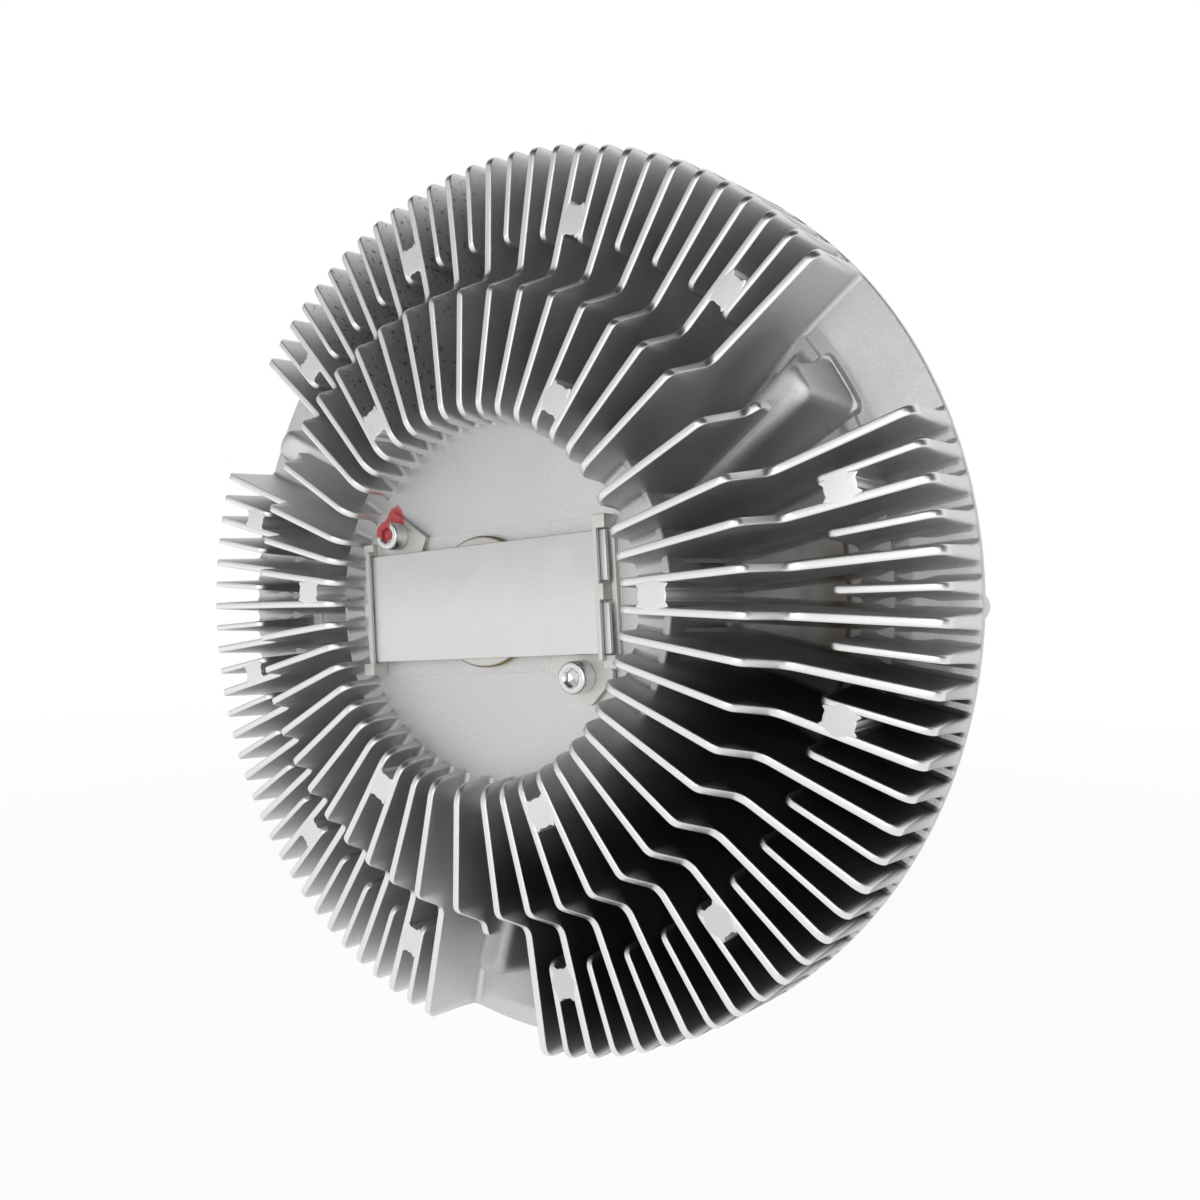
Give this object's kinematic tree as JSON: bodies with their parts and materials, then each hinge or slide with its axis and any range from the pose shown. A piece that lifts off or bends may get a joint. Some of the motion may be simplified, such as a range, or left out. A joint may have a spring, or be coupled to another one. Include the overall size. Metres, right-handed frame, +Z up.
{
  "type": "viscous fan clutch",
  "caption": "Bimetal-controlled viscous fan clutch: finned cast cover and housing turning on a flanged drive shaft, with a shear-ring rotor, valve and reservoir inside and a fan seat behind.",
  "frame": {"origin": "centre of the rear drive face, where the shaft's flange bolts to the engine", "axes": "Y is the spin axis, with the finned front facing -Y; the bimetal strip lies about 4 degrees from X; Z is up as in the picture"},
  "size_m": [0.25, 0.111, 0.25],
  "materials": {
    "cast_aluminium": "shot-blasted casting",
    "machined_aluminium": "turned",
    "forged_steel": "turned, lightly oiled",
    "bearing_steel": "ground",
    "cage_steel": "pressed sheet",
    "spring_steel": "hardened and blackened",
    "zinc_steel": "zinc plated",
    "sheet_steel": "cold rolled",
    "bimetal": "rolled, satin",
    "bracket_steel": "zinc plated",
    "brass": "turned, tarnished",
    "rubber": "moulded",
    "scraper_plastic": "moulded"
  },
  "bodies": {
    "drive": {"drive_shaft": "forged_steel", "bearing_inner_ring": "bearing_steel", "rotor": "machined_aluminium", "rotor_nut": "zinc_steel"},
    "housing": {"front_cover": "cast_aluminium", "rear_housing": "cast_aluminium", "housing_screws": "zinc_steel", "housing_o_ring": "rubber", "bearing_outer_ring": "bearing_steel", "bearing_seals": "rubber", "bearing_circlip": "spring_steel", "reservoir_plate": "sheet_steel", "plate_screw_set": "zinc_steel", "lever_rivets": "zinc_steel", "pump_scrapers": "scraper_plastic", "pin_bush": "brass", "pin_o_ring": "rubber", "bimetal_strip": "bimetal", "left_bracket": "bracket_steel", "right_bracket": "bracket_steel", "bracket_screws": "zinc_steel"},
    "cage": {"bearing_cage": "cage_steel", "bearing_balls": "bearing_steel"},
    "pin": {"control_pin": "bearing_steel"},
    "valve": {"valve_lever": "spring_steel"}
  },
  "joints": [
    {"name": "housing_spin", "type": "hinge", "parent": "drive", "child": "housing", "pos_m": [0, -0.0345, 0], "axis": [0, -1, 0], "continuous": true},
    {"name": "cage_spin", "type": "hinge", "parent": "drive", "child": "cage", "pos_m": [0, -0.0345, 0], "axis": [0, -1, 0], "continuous": true},
    {"name": "pin_slide", "type": "slide", "parent": "housing", "child": "pin", "axis": [0, -1, 0], "range_m": [0, 0.002], "stiffness_N_per_m": 300, "deforming": ["bimetal_strip"]},
    {"name": "lever_tilt", "type": "hinge", "parent": "housing", "child": "valve", "pos_m": [-0.038, -0.0627, 0], "axis": [0, 0, -1], "range_deg": [0, 3.2]}
  ],
  "couplings": [
    {"joint": "cage_spin", "follows": "housing_spin", "ratio": 0.603},
    {"joint": "lever_tilt", "follows": "pin_slide", "rad_per_m": 26.316}
  ]
}
